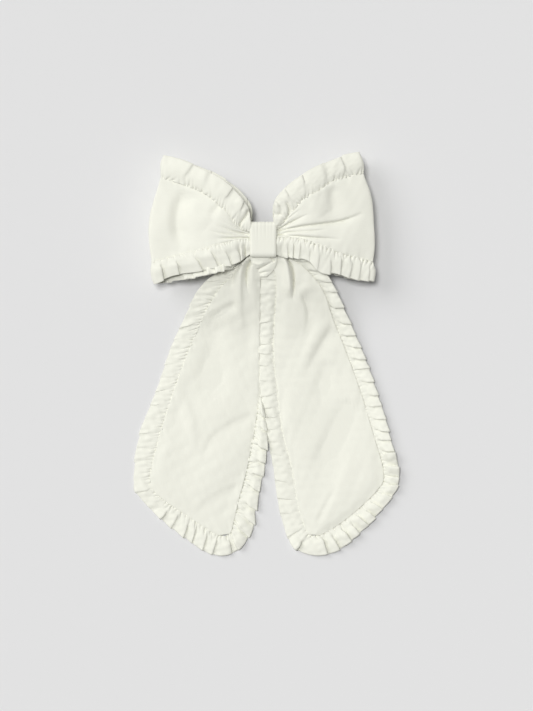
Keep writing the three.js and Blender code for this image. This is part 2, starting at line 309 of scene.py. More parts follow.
def plated_steel(name):
    """Bright plated spring steel with fine rolling marks and a few duller patches."""
    material, nodes, links, shader = new_material(name)
    set_input(shader, "Metallic", 1.0)
    place = nodes.new("ShaderNodeTexCoord")
    grain = nodes.new("ShaderNodeMapping")
    set_input(grain, "Scale", (60, 4000, 4000))
    links.new(place.outputs["Object"], grain.inputs["Vector"])
    marks = nodes.new("ShaderNodeTexNoise")
    set_input(marks, "Scale", 1.0)
    set_input(marks, "Detail", 4.0)
    links.new(grain.outputs["Vector"], marks.inputs["Vector"])
    patches = nodes.new("ShaderNodeTexNoise")
    set_input(patches, "Scale", 160.0)
    links.new(place.outputs["Object"], patches.inputs["Vector"])
    rough = nodes.new("ShaderNodeMapRange")
    set_input(rough, "To Min", 0.18)
    set_input(rough, "To Max", 0.42)
    links.new(patches.outputs["Fac"], rough.inputs["Value"])
    links.new(rough.outputs["Result"], shader.inputs["Roughness"])
    tone = nodes.new("ShaderNodeMix")
    tone.data_type = "RGBA"
    set_input(tone, "A", (0.50, 0.51, 0.53, 1))
    set_input(tone, "B", (0.66, 0.67, 0.68, 1))
    links.new(marks.outputs["Fac"], tone.inputs["Factor"])
    links.new(tone.outputs["Result"], shader.inputs["Base Color"])
    bump = nodes.new("ShaderNodeBump")
    set_input(bump, "Strength", 0.15)
    set_input(bump, "Distance", 0.00005)
    links.new(marks.outputs["Fac"], bump.inputs["Height"])
    links.new(bump.outputs["Normal"], shader.inputs["Normal"])
    return material


IVORY = (0.83, 0.83, 0.74)
LOOP_COTTON = cotton("loop_cotton", IVORY)
TAIL_COTTON = cotton("tail_cotton", IVORY)
LINING_COTTON = cotton("lining_cotton", tuple(c * 0.96 for c in IVORY))
KNOT_COTTON = cotton("knot_cotton", IVORY)
THREAD = fibre("thread", (0.78, 0.77, 0.69), 5000.0, 0.0001)
FELT = fibre("felt", (0.80, 0.78, 0.70), 1800.0, 0.0003)
STEEL = plated_steel("clip_steel")


# ---------------------------------------------------------------- camera, light, floor

VIEW_HEIGHT = 436.6
VIEW_MIDDLE = (2.0, -70.6, 0)
WORLD_STRENGTH = 0.17

# Name, direction, angle across in degrees and strength
SUNS = (
    ("key", (0.62, -0.40, -0.62), 40, 1.24),
    ("top", (0.12, -0.12, -1.0), 14, 1.93),
)

# The paper's distances are in metres
PAPER_GAP = 0.0002
PAPER_FLAT_RADIUS = 2.8
PAPER_RADIUS = 3.8
PAPER_RISE = 0.6
PAPER_RINGS = 12
PAPER_SIDES = 96


def make_camera():
    """Straight above, with the bow's top towards the top of the picture."""
    middle = Vector(VIEW_MIDDLE) * MM
    data = bpy.data.cameras.new("camera")
    data.lens = 200
    data.sensor_fit = "VERTICAL"
    data.sensor_height = 36
    distance = VIEW_HEIGHT * MM * data.lens / data.sensor_height
    camera = bpy.data.objects.new("camera", data)
    camera.location = middle + Vector((0, 0, distance))
    bpy.context.scene.collection.objects.link(camera)
    bpy.context.scene.camera = camera


def make_light():
    """A broad light from the upper left, a narrower one from above, and a little all round."""
    world = bpy.data.worlds.new("studio")
    bpy.context.scene.world = world
    world.use_nodes = True
    background = world.node_tree.nodes["Background"]
    set_input(background, "Color", (1, 1, 1, 1))
    set_input(background, "Strength", WORLD_STRENGTH)
    for name, direction, angle, strength in SUNS:
        data = bpy.data.lights.new(name, "SUN")
        data.angle = math.radians(angle)
        data.energy = strength
        lamp = bpy.data.objects.new(name, data)
        lamp.rotation_euler = Vector(direction).to_track_quat("-Z", "Y").to_euler()
        bpy.context.scene.collection.objects.link(lamp)


def make_floor():
    """White paper: flat under the bow, and curving up far away all round."""
    low = CAD_BOX[0][2] - PAPER_GAP
    share = np.linspace(0, 1, PAPER_RINGS)
    radius = PAPER_FLAT_RADIUS + (PAPER_RADIUS - PAPER_FLAT_RADIUS) * share
    angle = np.linspace(0, 2 * math.pi, PAPER_SIDES, endpoint=False)
    points = [(0, 0, low)]
    for r, z in zip(radius, low + PAPER_RISE * share ** 2):
        points += [(r * math.cos(a), r * math.sin(a), z) for a in angle]
    faces = []
    for k in range(PAPER_SIDES):
        after = (k + 1) % PAPER_SIDES
        faces.append((0, 1 + k, 1 + after))
        for ring in range(PAPER_RINGS - 1):
            here = 1 + ring * PAPER_SIDES
            there = here + PAPER_SIDES
            faces.append((here + k, there + k, there + after, here + after))
    mesh = bpy.data.meshes.new("floor")
    mesh.from_pydata(points, [], faces)
    mesh.polygons.foreach_set("use_smooth", [True] * len(mesh.polygons))
    floor = bpy.data.objects.new("floor", mesh)
    bpy.context.scene.collection.objects.link(floor)
    material, _, _, shader = new_material("paper")
    set_input(shader, "Base Color", (0.73, 0.73, 0.73, 1))
    set_input(shader, "Roughness", 0.95)
    set_input(shader, "Specular IOR Level", 0.1)
    mesh.materials.append(material)


# ---------------------------------------------------------------- ruffles

# One knife pleat seen end on: the share of the way through its cloth, then its run as a share of
# its width, as a share of its under-fold and in millimetres, and its height as a share of its lift
PLEAT = np.array([
    (0.00, 0.00, 0, 0.0, 0.00),
    (0.20, 0.18, 0, 0.0, 0.30),
    (0.45, 0.50, 0, 0.0, 0.68),
    (0.66, 1.00, 0, -0.9, 1.00),
    (0.74, 1.00, 0, 0.0, 0.86),
    (0.80, 1.00, 0, -0.5, 0.56),
    (0.87, 1.00, -1, 0.0, 0.26),
    (0.91, 1.00, -1, -0.2, 0.08),
    (0.95, 1.00, -1, 0.5, 0.00),
    (1.00, 1.00, 0, 0.0, 0.00),
])
PLEAT_SAMPLES = 26

# Ruffle styles, in millimetres where nothing else is said:
#   width   the range of a pleat's width
#   under   how far its cloth folds back under it
#   lift    how high its fold stands
#   crisp   the range from a soft wave, 0, to a pressed knife pleat, 1
#   step    how far its free edge steps out at the fold, as a share of the ruffle's width
#   pucker  the depth of the small creases at the seam
#   lean    how far a pleat may lean along the seam, each its own way
#   slant   how far they all lean the same way
#   turned  whether the pleats fold the other way
SOFT = {"width": (5, 12), "under": 1.0, "lift": 0.9, "crisp": (0.0, 0.7), "step": 0.04,
        "pucker": 1.1, "lean": 2.4, "slant": 0, "turned": False}
CRISP = {"width": (6.5, 10), "under": 2.2, "lift": 2.1, "crisp": (0.5, 1.0), "step": 0.08,
         "pucker": 0.6, "lean": 0.8, "slant": 0, "turned": False}
FULL = {"width": (4.5, 8.5), "under": 2.0, "lift": 2.4, "crisp": (0.3, 1.0), "step": 0.05,
        "pucker": 1.2, "lean": 1.4, "slant": 0, "turned": False}
PUFFY = {"width": (8, 14), "under": 0.8, "lift": 2.2, "crisp": (0.1, 0.5), "step": 0.0,
         "pucker": 1.6, "lean": 1.2, "slant": -1.0, "turned": False}
KNIFE = {"width": (7, 12), "under": 2.4, "lift": 2.4, "crisp": (0.6, 1.0), "step": 0.06,
         "pucker": 1.2, "lean": 1.4, "slant": 0.6, "turned": True}
EDGE = {"width": (4.5, 8.5), "under": 3.0, "lift": 3.0, "crisp": (0.8, 1.0), "step": 0.05,
        "pucker": 1.2, "lean": 1.4, "slant": 0, "turned": True}
GATHERED = {"width": (3.2, 7.5), "under": 0.7, "lift": 1.4, "crisp": (0.0, 0.9), "step": 0.05,
            "pucker": 1.8, "lean": 1.4, "slant": 0, "turned": False}
INNER = {"width": (4.5, 10), "under": 0.9, "lift": 0.8, "crisp": (0.1, 0.7), "step": 0.03,
         "pucker": 0.5, "lean": 1.4, "slant": 0, "turned": True}
HOLES = {"width": (6, 11), "under": 2.4, "lift": 3.0, "crisp": (0.7, 1.0), "step": 0.1,
         "pucker": 2.2, "lean": 1.0, "slant": 0, "turned": True}
SWEPT = dict(PUFFY, slant=-6.0, turned=True)

# The shortest length left for a last pleat and how far each side of a pucker its crease reaches,
# in millimetres; how many samples the lean is evened out over; and shares of a ruffle: how far it
# runs on under its seam, and the stretch from its start that its creases are in
SHORTEST_PLEAT = 3
PUCKER_REACH = 4
LEAN_SAMPLES = 13
UNDER_SEAM = 0.06
CREASED_SHARE = 0.4


def ruffle_grid(surface, length, width, style_at, across, seed, puff=0.6, crinkle=0.2,
                creases=()):
    """A pleated strip from a seam (u = 0) to its free edge (u = 1), gathered along the seam.
    surface gives points and normals for v, the share of the way along, and u, and style_at
    gives the style at v. length, width, puff, which is how far the strip bulges between its
    edges, and crinkle, the depth of its small rumples, are in millimetres. across is the
    number of samples from seam to edge, and creases are extra folds near its start."""
    rng = np.random.default_rng(seed)
    columns = []
    start = 0.0
    while start < length - SHORTEST_PLEAT:
        style = style_at(start / length)
        pleat_width = min(rng.uniform(*style["width"]), length - start)
        columns.append(pleat_columns(start, pleat_width, style, rng))
        start += pleat_width
    flat, folded, rise, crisp, begin, reach, lean, pucker = np.concatenate(columns, 1)
    padded = np.pad(lean, LEAN_SAMPLES // 2, "edge")
    lean = np.convolve(padded, np.ones(LEAN_SAMPLES) / LEAN_SAMPLES, "valid")
    lean = lean * smooth(flat, 8, 30)
    scale = length / flat[-1]

    u = np.linspace(-UNDER_SEAM, 1, across)[:, None]
    amount = crisp * smooth(u, begin, begin + 0.35)
    s = (flat + (folded - flat) * amount) * scale + lean * u
    out = u * (1 + reach * smooth(u, 0.2, 1))
    high = rise * (0.25 + 0.75 * amount) * smooth(u, 0, 0.3)
    high = high + puff * np.sin(math.pi * np.clip(u * 1.05, 0, 1)) ** 0.7
    high = high + seam_puckers(flat, u * width, pucker, length, rng)
    v = np.clip(s / length, 0, 1)
    point, normal = surface(v, out)
    rumpled = waves(seed, 9, 2.5, 9)(point[..., 0], point[..., 1])
    high = high + crinkle * rumpled * smooth(u, 0, 0.2)
    for crease in creases:
        high = high + (v < CREASED_SHARE) * fold(point[..., 0], point[..., 1], *crease)
    grid = point + normal * high[..., None]
    return grid.transpose(1, 0, 2)


def pleat_columns(start, width, style, rng):
    """One pleat's samples along the seam, as the rows that ruffle_grid takes apart again: flat
    and folded place, rise, crispness, where the pleat begins, reach, lean and pucker."""
    share = np.linspace(0, 1, PLEAT_SAMPLES, endpoint=False)
    under = style["under"] * rng.uniform(0.7, 1.2)
    run = PLEAT[:, 1] * width + PLEAT[:, 2] * under + PLEAT[:, 3]
    folded = np.interp(share, PLEAT[:, 0], run)
    rise = np.interp(share, PLEAT[:, 0], PLEAT[:, 4]) * style["lift"] * rng.uniform(0.7, 1.15)
    if style["turned"]:
        folded = (width - folded)[::-1]
        rise = rise[::-1]
    step = style["step"] * rng.uniform(0.5, 1.3) * (-1 if style["turned"] else 1)
    reach = step * (folded / width - 0.5) + rng.uniform(-0.03, 0.03)
    same = np.ones(PLEAT_SAMPLES)
    return np.array([
        start + share * width,
        start + folded,
        rise,
        same * rng.uniform(*style["crisp"]),
        same * rng.uniform(0.0, 0.4),
        reach,
        same * (rng.uniform(-1, 1) * style["lean"] + style["slant"]),
        same * style["pucker"],
    ])


def seam_puckers(s, out, depth, length, rng):
    """Small creases that run out from a gathered seam: s is the distance along it and out the
    distance from it, in millimetres."""
    total = np.zeros(np.broadcast(s, out).shape)
    at = rng.uniform(0.5, 2)
    while at < length:
        near = np.abs(s - at) < PUCKER_REACH
        across = (s[near] - at - out * rng.uniform(-0.5, 0.5)) / rng.uniform(0.35, 0.6)
        fade = np.exp(-np.maximum(out, 0) / rng.uniform(0.8, 2.6))
        total[:, near] -= depth[near] * rng.uniform(0.3, 1) * np.exp(-across ** 2) * fade
        at += rng.uniform(1.3, 3.4)
    return total


# ---------------------------------------------------------------- the loops

# Distances from the middle of the knot to its side and to the end of the gathered centre, the
# length of a loop from the knot's side to its fold, and how far the fold bulges between its seams
KNOT_X = 6.3
THROAT_X = 8.4
LOOP_RUN = 63.0
FOLD_BULGE = 3.4
SLOPE_STEP = 0.004

# Side section from the front of the throat, round the fold, to the back of the throat:
# distance from the knot and height
SECTION, SECTION_LENGTH = by_length(spline([
    (0, 23.7), (7, 24.3), (17, 25.6), (32, 25.6), (46, 22.8), (56, 20.6), (62.4, 19.0), (63, 17.2),
    (60.6, 13.6), (55, 8.8), (48, 8.2), (39, 12), (30, 14.3), (20, 15.6), (7, 17.2), (0, 18.0),
]))

# Plan lines from the knot to the fold, and the styles of the ruffles from the front of the knot
# round to its back. The back leaf of the bottom ruffle is raised by close.
LOOPS = {
    "left": {
        "side": -1,
        "seed": 3,
        "close": 11.0,
        "top_style": lambda v: SWEPT,
        "bottom_style": lambda v: KNIFE if 0.08 < v < 0.5 else FULL,
        "top_edge": [(-7.6, 10), (-9.2, 19), (-15.5, 28), (-23, 35), (-32.1, 40.6), (-40.7, 44.7),
                     (-50.5, 49), (-60.1, 51.6)],
        "top_edge_back": [(-6.4, 11.5), (-7.4, 21), (-14, 30.5), (-22.4, 36.6), (-31.6, 41.6),
                          (-40.7, 45.4), (-50.5, 49.4), (-60.1, 51.6)],
        "top_seam": [(-6.5, 4.5), (-12.5, 6.6), (-18, 11.2), (-24.5, 19), (-31.5, 25.5),
                     (-40, 30.6), (-50.5, 34.7), (-62.4, 38.3)],
        "bottom_seam": [(-6.5, -0.5), (-12.5, -0.2), (-20.8, -2.1), (-28, -4), (-36, -6.2),
                        (-46, -8.6), (-57, -11.6), (-68, -14.2)],
        "bottom_edge": [(-6.8, -8.5), (-11.5, -11.5), (-17.5, -15.2), (-22.5, -16.3),
                        (-29.5, -17.4), (-41.5, -19.8), (-53.5, -21.8), (-65.4, -27)],
        "bottom_edge_back": [(-6.8, -8.5), (-12, -12.5), (-18.5, -17.4), (-25, -19.4),
                             (-33, -21), (-43.5, -23.4), (-54.5, -25.4), (-65.4, -27.4)],
    },
    "right": {
        "side": 1,
        "seed": 8,
        "close": 6.0,
        "top_style": lambda v: PUFFY,
        "bottom_style": lambda v: GATHERED,
        "top_edge": [(6.8, 9), (6.6, 21), (11, 28.6), (20, 36.6), (30, 43), (39, 47.2),
                     (48.5, 51.2), (58.4, 53.2)],
        "top_edge_back": [(6.2, 12), (6.4, 21.8), (11, 29.2), (20, 37), (30, 43.2), (39, 47.4),
                          (48.5, 51.2), (58.4, 53.2)],
        "top_seam": [(6.5, 6), (13, 11.5), (18, 18), (25, 25), (33, 29), (42.2, 35.3),
                     (51, 38.4), (61, 41.1)],
        "bottom_seam": [(6.5, 0.3), (13, 0.6), (21, 0.2), (28.1, -1.5), (37, -5), (47, -8.2),
                        (57, -11.2), (67, -14.3)],
        "bottom_edge": [(6.8, -9), (13, -11), (19.5, -11.8), (27.5, -13.4), (34.5, -20),
                        (45, -21.2), (55, -24.2), (66.6, -25.6)],
        "bottom_edge_back": [(6.8, -8), (13, -10), (20, -11), (28, -13), (36, -19.6),
                             (46, -22), (55, -24.4), (66.6, -25.8)],
    },
}

# Creases in the front of each loop: line, height, width, far width, fades
LOOP_CREASES = {
    "left": [
        ([(-8, 4.6), (-13, 5.6), (-19, 8), (-26, 12.4)], -1.1, 0.5, 1.4, (0.02, 0.5)),
        ([(-8, 3.6), (-16, 4.2), (-23, 6.6), (-30, 9.4)], -0.9, 0.5, 1.2, (0.02, 0.5)),
        ([(-8, 2.4), (-17, 2.6), (-26, 3.6), (-34, 5.4)], -1.2, 0.5, 1.3, (0.02, 0.5)),
        ([(-8, 1), (-18, 0.7), (-30, 0.4)], -1.0, 0.5, 1.0, (0.02, 0.4)),
        ([(-8, 0.2), (-17, -0.9), (-24, -2)], -0.7, 0.5, 0.9, (0.02, 0.4)),
        ([(-47, 31), (-52, 18), (-52, 4), (-46, -5)], -3.2, 6.5, 4.0, (0.25, 0.4)),
        ([(-43, 25), (-41, 16), (-33, 8)], 1.2, 5.0, 5.0, (0.3, 0.3)),
        ([(-25, 23), (-29, 18), (-33, 13)], -1.3, 2.4, 2.4, (0.2, 0.5)),
    ],
    "right": [
        ([(8, 5), (22, 7.8), (41, 10.2), (50, 12), (62, 16.8)], -2.3, 0.7, 2.0, (0.02, 0.3)),
        ([(8, 4), (20, 4.8), (32, 5.4), (40, 6.4)], -1.0, 0.5, 1.1, (0.02, 0.4)),
        ([(8, 3), (20, 2.2), (30, 1.2), (49, 0.2)], -1.6, 0.6, 1.4, (0.02, 0.3)),
        ([(8, 5.6), (13, 8.4), (20, 12), (29, 16)], -1.5, 0.7, 1.4, (0.02, 0.4)),
        ([(9, 6.4), (13, 10.6), (18, 15), (24, 19)], -1.0, 0.6, 1.1, (0.02, 0.4)),
        ([(42, 33), (42, 24), (44, 14)], -1.0, 4.5, 3.0, (0.3, 0.4)),
        ([(28, 21), (34, 19), (38, 15)], 0.6, 4.0, 4.0, (0.3, 0.3)),
    ],
}

# Creases where the top ruffles turn over beside the knot
TAB_CREASES = {
    "left": [
        ([(-9, 18), (-10, 14.6), (-13.4, 9.6), (-14, 6)], -2.4, 0.7, 1.3, (0.1, 0.1)),
        ([(-16, 25), (-11, 20), (-12, 15)], 1.2, 2.5, 2.5, (0.2, 0.3)),
    ],
    "right": [
        ([(4.6, 16.2), (8.4, 14.8), (12.4, 15.4)], -1.8, 1.2, 0.8, (0.05, 0.3)),
        ([(13.4, 24), (15.8, 18), (14.6, 12), (12, 9)], -1.8, 1.4, 0.8, (0.25, 0.25)),
        ([(8.6, 27), (9.4, 19)], 0.9, 2.6, 2.6, (0.3, 0.3)),
    ],
}


def loop_surface(side, start_line, end_line, back_line=None, bulge=0.0, droop=0.0, close=0.0,
                 settle=0.0):
    """A loop's cloth between two plan lines, as a function of v, the share of the way round
    from the front of the knot to its back, and u, from one line to the other. The back leaf
    reaches back_line instead of end_line, droop lowers the front's far line near the knot,
    settle lowers it further out, and close raises the back's far line towards the front. bulge
    is how far the fold stands out between the two lines."""
    start, end = spline(start_line), spline(end_line)
    back_end = spline(back_line or end_line)

    def at(v, u):
        section = SECTION(v)
        ahead = SECTION(np.clip(v + SLOPE_STEP, 0, 1))
        behind = SECTION(np.clip(v - SLOPE_STEP, 0, 1))
        slope = (ahead - behind) / np.linalg.norm(ahead - behind, axis=-1)[..., None]
        t = np.clip(section[..., 0] / LOOP_RUN, 0, 1)
        turned = smooth(v, 0.42, 0.6)[..., None]
        a = start(t)
        b = end(t) * (1 - turned) + back_end(t) * turned
        plan = a + (b - a) * u[..., None]
        crown = side * bulge * 4 * u * (1 - u) * t * t
        sag = droop * smooth(u, 0, 0.8) * np.exp(-((t * LOOP_RUN - 4) / 26) ** 2)
        sag = sag * (1 - smooth(v, 0.3, 0.5)) * smooth(t * LOOP_RUN, -4, 9)
        sag = sag + settle * smooth(u, 0, 1) * (1 - turned[..., 0]) * smooth(t, 0.25, 0.7)
        rise = close * smooth(u, 0, 0.9) * turned[..., 0]
        rise = rise * smooth(t, 0.15, 0.45) * smooth(1 - t, 0, 0.25)
        high = section[..., 1] - sag + rise
        point = np.stack([plan[..., 0] + crown, plan[..., 1], high], -1)
        normal = np.stack([-side * slope[..., 1], np.zeros_like(t), slope[..., 0]], -1)
        return point, normal

    return at


def band_grid(name, spec):
    """A loop's smooth band, front and back leaf, with its gathers, creases and puckers."""
    side = spec["side"]
    seed = spec["seed"]
    surface = loop_surface(side, spec["bottom_seam"], spec["top_seam"], bulge=FOLD_BULGE)
    v, u = np.meshgrid(np.linspace(0, 1, 230), np.linspace(0, 1, 84), indexing="ij")
    point, normal = surface(v, u)
    x, y = point[..., 0], point[..., 1]
    from_knot = np.abs(x) - KNOT_X
    front = 1 - smooth(v, 0.42, 0.5)
    gathers = np.cos(2 * math.pi * (3.5 * u + 0.3 * np.sin(5 * u)) + seed)
    raised = 0.55 * gathers * np.exp(-((from_knot - 3) / 13) ** 2) * smooth(from_knot, 0, 4)
    for crease in LOOP_CREASES[name]:
        raised = raised + front * fold(x, y, *crease)
    raised = raised + 0.6 * waves(seed, 7, 22, 60)(x, y) * smooth(from_knot, 5, 25)
    raised = raised + 0.06 * waves(seed + 2, 9, 4, 12)(x, y)
    span = np.linalg.norm(surface(v, u * 0)[0] - surface(v, u * 0 + 1)[0], axis=-1)
    from_seam = np.minimum(u, 1 - u) * span
    pucker = waves(seed + 1, 5, 2.8, 6)(x, y * 0.2) * np.exp(-from_seam / 2.2)
    raised = raised + 0.22 * pucker - 0.3 * np.exp(-(from_seam / 0.9) ** 2)
    return point + normal * raised[..., None]


def make_loop(name):
    """A loop's band and its two ruffles."""
    spec = LOOPS[name]
    side = spec["side"]
    seed = spec["seed"]
    body = name + "_loop"
    top = loop_surface(side, spec["top_seam"], spec["top_edge"], spec["top_edge_back"])
    top_grid = ruffle_grid(top, SECTION_LENGTH, 14, spec["top_style"], 22, seed + 1, puff=0.9,
                           crinkle=0.12, creases=TAB_CREASES[name])
    bottom = loop_surface(side, spec["bottom_seam"], spec["bottom_edge"],
                          spec["bottom_edge_back"], droop=4.0, close=spec["close"], settle=2.0)
    bottom_grid = ruffle_grid(bottom, SECTION_LENGTH, 13, spec["bottom_style"], 20, seed + 2,
                              puff=0.7, crinkle=0.12)
    for cloth, node, grid, thickness, flat in (
        ("_cloth", "_band", band_grid(name, spec), 0.5, (0.048, 0.104)),
        ("_top_ruffle_cloth", "_top_ruffle", top_grid, 0.4, (0.015, 0.155)),
        ("_bottom_ruffle_cloth", "_bottom_ruffle", bottom_grid, 0.4, (0.014, 0.170)),
    ):
        piece = cloth_piece(body + cloth, grid, thickness, LOOP_COTTON)
        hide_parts(body + node)
        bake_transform(piece)


# ---------------------------------------------------------------- the tails

# Heights of the tails' sewn tops, of the lowest cloth on the table and of the seam there, and the
# share of its relief that a tucked ruffle loses
TAIL_SEWN_Z = 13.2
ON_TABLE = 0.25
SEAM_Z = 1.6
TUCKED_FLATNESS = 0.85

# Plan lines from the knot to the tail's end and, for edge, round it; the rise of the ruffle's
# outer and inner stretch, how far its seam is set down, and its styles from its outer top round
# the end to its inner top. The right tail's inner ruffle lies on the left tail, whose own is
# tucked under it higher up.
TAILS = {
    "left": {
        "seed": 21,
        "outer_rise": 0.0,
        "inner_rise": 0.6,
        "seam_step": 0.2,
        "tucked": 1.0,
        "ruffle": lambda v: SOFT if v < 0.42 else FULL if v < 0.55 else HOLES,
        "outer": [(-5, -6), (-12.5, -14), (-20, -23), (-28, -32), (-38, -49), (-45, -66),
                  (-54, -90), (-63, -118), (-69.5, -146), (-65.5, -155.5), (-47.5, -168.5),
                  (-27.5, -181)],
        "inner": [(-0.6, -6), (-1.2, -14), (-1.6, -22), (-2, -31), (-2, -50), (-2, -70),
                  (-2.2, -94), (-5.6, -118), (-9.8, -140), (-14.4, -157), (-17.6, -170),
                  (-20.6, -180)],
        "edge": [(-12, -9), (-21, -17.5), (-32, -22.5), (-41, -32.5), (-49.5, -50), (-57, -67),
                 (-65.5, -91), (-76, -119), (-79.6, -147), (-75.4, -158.5), (-53, -179),
                 (-31, -193.2), (-15.5, -190), (-6.2, -178), (-4, -163), (0.3, -143),
                 (2.6, -121), (-1, -97), (-7, -72), (-9, -52), (-8, -33), (-6, -24),
                 (-5, -16), (-4, -8)],
    },
    "right": {
        "seed": 34,
        "outer_rise": 2.6,
        "inner_rise": 0.8,
        "seam_step": 0.3,
        "tucked": 0.0,
        "ruffle": lambda v: CRISP if v < 0.36 else EDGE if v < 0.56 else INNER,
        "outer": [(5, -6), (17, -12), (26, -18), (36.5, -31), (43, -49), (50, -66), (59.5, -92),
                  (68, -120), (74, -143), (69.4, -154), (50, -171.5), (34.5, -180.8)],
        "inner": [(2.4, -6), (5, -14), (7.6, -22), (8.2, -31), (7.2, -49), (6.6, -70), (9, -94),
                  (12, -117), (17.6, -139), (20.5, -157), (24, -171), (28.4, -180.4)],
        "edge": [(12, -6), (26, -11), (37, -18), (44.5, -31), (53, -49), (60, -66), (69.5, -91),
                 (78, -120), (83.4, -143), (79, -157.5), (57.5, -181.4), (37.5, -193.2),
                 (19.5, -189.4), (12, -173), (8.4, -155), (5.6, -136), (2, -117), (-1.8, -95),
                 (-2.4, -70), (-2.4, -50), (-2.4, -31), (-2, -22), (-1, -15), (0, -8)],
    },
}

# Folds in the front of each tail
TAIL_FOLDS = {
    "left": [
        ([(-6, -9), (-12, -14), (-14, -22), (-14, -40), (-12, -70)], 2.9, 1.6, 3.0, (0.05, 0.8)),
        ([(-7, -12), (-9.8, -18), (-10.2, -24), (-9, -34)], -2.8, 0.9, 0.9, (0.05, 0.5)),
        ([(-5, -12), (-7, -18), (-6.4, -28), (-5, -44)], 1.4, 2.6, 1.6, (0.05, 0.7)),
        ([(-13, -15), (-17.6, -21), (-20, -31)], -1.8, 1.2, 2.0, (0.05, 0.5)),
        ([(-16, -39), (-24, -42), (-35, -49)], -0.9, 4.0, 2.0, (0.25, 0.5)),
        ([(-27, -42), (-31, -62), (-30, -84), (-27, -108)], -2.6, 9.0, 9.0, (0.25, 0.4)),
        ([(-54, -90), (-47, -103), (-43, -118), (-44, -136)], 1.0, 3.0, 4.5, (0.3, 0.5)),
        ([(-5, -107), (-20, -113), (-33, -124), (-38, -142)], -0.65, 5.5, 2.2, (0.1, 0.4)),
        ([(-15, -151), (-26, -155), (-34, -160), (-42, -169)], -0.5, 5.0, 2.2, (0.1, 0.4)),
    ],
    "right": [
        ([(9, -8), (13.6, -13), (15.8, -24), (16.4, -36)], 2.8, 1.6, 3.2, (0.05, 0.25)),
        ([(12.5, -8), (17.4, -16), (18.8, -24.3), (18.2, -37)], -2.6, 0.6, 0.9, (0.05, 0.35)),
        ([(20, -36), (25, -31), (32, -25)], 0.7, 3.2, 3.2, (0.3, 0.4)),
        ([(22.5, -30), (26.4, -39), (27.8, -47), (25, -61)], -1.3, 4.5, 1.7, (0.3, 0.5)),
        ([(44, -51), (37, -62), (30, -75), (25, -86)], -1.0, 5.5, 2.4, (0.25, 0.45)),
        ([(40, -46), (31, -62), (21, -80)], 0.8, 3.5, 3.5, (0.3, 0.5)),
        ([(40, -72), (37, -86), (36, -102)], -1.0, 5.0, 5.0, (0.3, 0.4)),
        ([(56, -96), (49, -110), (41, -125), (30, -146)], -1.7, 9.0, 6.0, (0.25, 0.3)),
        ([(56, -126), (50, -146), (40, -164), (34, -176)], 0.7, 4.5, 4.5, (0.3, 0.3)),
        ([(46, -150), (38, -164), (33, -174)], -0.7, 3.5, 2.0, (0.3, 0.3)),
    ],
}


def tail_underside(y):
    """The height of a tail's underside: sewn behind the knot, and on the table further down."""
    return TAIL_SEWN_Z * (1 - smooth(-y, 4, 62))


def tail_seam(spec):
    """The seam all the way round a tail, from its outer top to its inner top, and the share of
    it that its outer line takes."""
    seam = spline(spec["outer"] + spec["inner"][::-1])
    reach = (len(spec["outer"]) - 1) / (2 * len(spec["outer"]) - 1)
    return seam, reach


def top_swell(y):
    """How far the front of a tail swells up just below the knot."""
    return 4.2 * smooth(-y, 8, 13) * (1 - smooth(-y, 16, 90))


def panel_plan(spec, rows, columns):
    """A tail panel's x and y from the knot to the tail's end, and the distance from its seam."""
    seam, reach = tail_seam(spec)
    v, u = np.meshgrid(np.linspace(0, 1, rows), np.linspace(0, 1, columns), indexing="ij")
    outer, inner = seam(v * reach), seam(1 - v * reach)
    plan = outer + (inner - outer) * u[..., None]
    width = np.linalg.norm(inner - outer, axis=-1)
    return plan[..., 0], plan[..., 1], np.minimum(u, 1 - u) * width


def front_grid(name):
    """A tail's front panel: swollen below the knot, with its folds, rumples and seam puckers."""
    seed = TAILS[name]["seed"]
    x, y, from_seam = panel_plan(TAILS[name], 260, 100)
    z = tail_underside(y) + 1.5 + top_swell(y)
    z = z + 0.9 * (1 - np.exp(-from_seam / 9)) * smooth(-y, 10, 30)
    for crease in TAIL_FOLDS[name]:
        z = z + fold(x, y, *crease)
    z = z + 0.8 * waves(seed, 8, 26, 75)(x, y) * smooth(-y, 25, 60) * smooth(from_seam, 0, 8)
    z = z + 0.2 * waves(seed + 1, 6, 3, 7)(x, y) * np.exp(-from_seam / 2.0)
    z = z + 0.07 * waves(seed + 2, 9, 4, 12)(x, y)
    if TAILS[name]["tucked"]:
        z = z - 0.6 * np.exp(-from_seam / 1.5) * smooth(x, -12, -7)
    lowest = tail_underside(y) + 0.9
    return np.stack([x, y, np.maximum(z, lowest)], -1)


def back_grid(name):
    """A tail's lining, just above its underside."""
    x, y, from_seam = panel_plan(TAILS[name], 130, 50)
    z = tail_underside(y) + 0.35 + 0.5 * top_swell(y) + 0.2 * np.exp(-from_seam / 2)
    return np.stack([x, y, z], -1)


